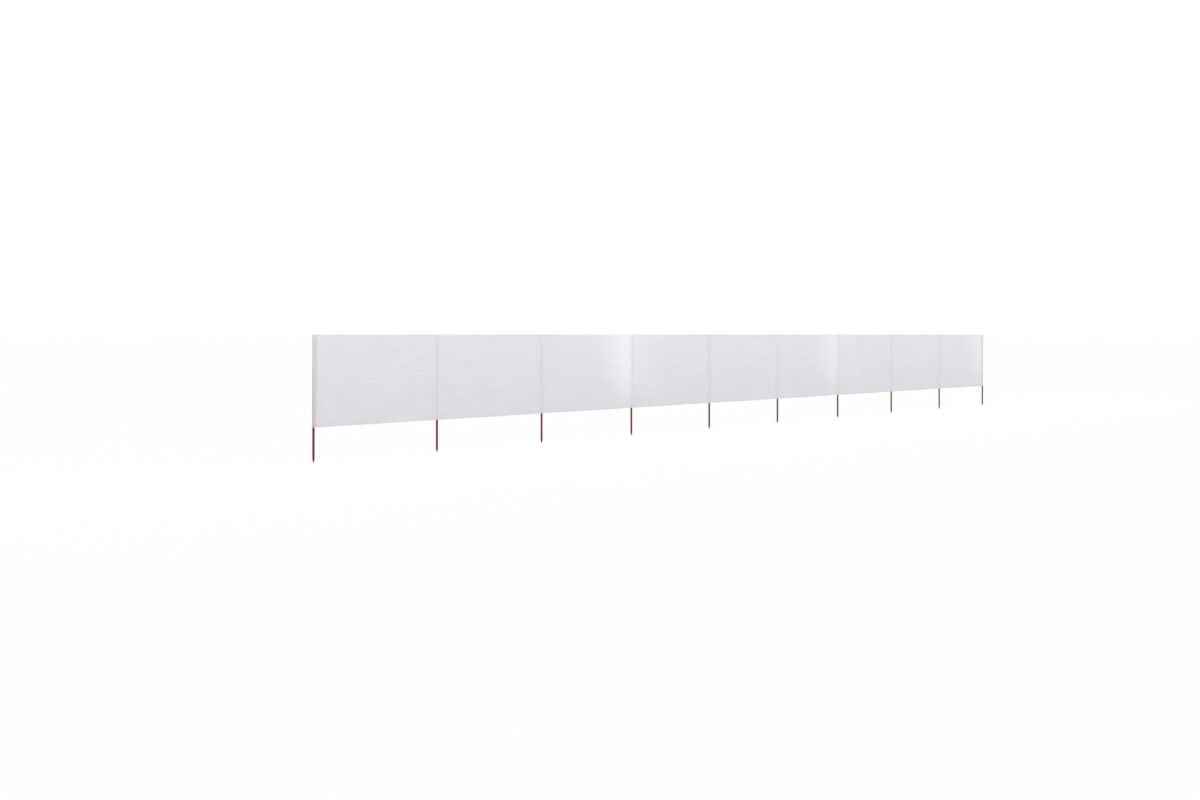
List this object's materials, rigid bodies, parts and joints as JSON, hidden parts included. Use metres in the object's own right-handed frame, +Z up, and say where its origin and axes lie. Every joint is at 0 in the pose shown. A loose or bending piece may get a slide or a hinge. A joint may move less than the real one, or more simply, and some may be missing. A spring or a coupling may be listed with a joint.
{
  "type": "beach windbreak",
  "caption": "Long straight screen of pale cloth panels between round wooden poles, each in a sewn sleeve with a closed top and with a bare leg that goes into the sand.",
  "frame": {"origin": "middle of the flat tip of the first pole, the end pole at the left of the front view", "axes": "+X along the row from the first pole to the last, -Y the front that the picture shows, +Z up along the poles"},
  "size_m": [12, 0.0226, 1.1],
  "materials": {
    "pole_wood": "stained dark red-brown, satin",
    "cloth": "matt woven cloth, cool white"
  },
  "bodies": {
    "root": {"pole_01": "pole_wood", "pole_02": "pole_wood", "pole_03": "pole_wood", "pole_04": "pole_wood", "pole_05": "pole_wood", "pole_06": "pole_wood", "pole_07": "pole_wood", "pole_08": "pole_wood", "pole_09": "pole_wood", "pole_10": "pole_wood", "sleeve_01": "cloth", "sleeve_02": "cloth", "sleeve_03": "cloth", "sleeve_04": "cloth", "sleeve_05": "cloth", "sleeve_06": "cloth", "sleeve_07": "cloth", "sleeve_08": "cloth", "sleeve_09": "cloth", "sleeve_10": "cloth", "panel_01": "cloth", "panel_02": "cloth", "panel_03": "cloth", "panel_04": "cloth", "panel_05": "cloth", "panel_06": "cloth", "panel_07": "cloth", "panel_08": "cloth", "panel_09": "cloth"}
  },
  "joints": []
}
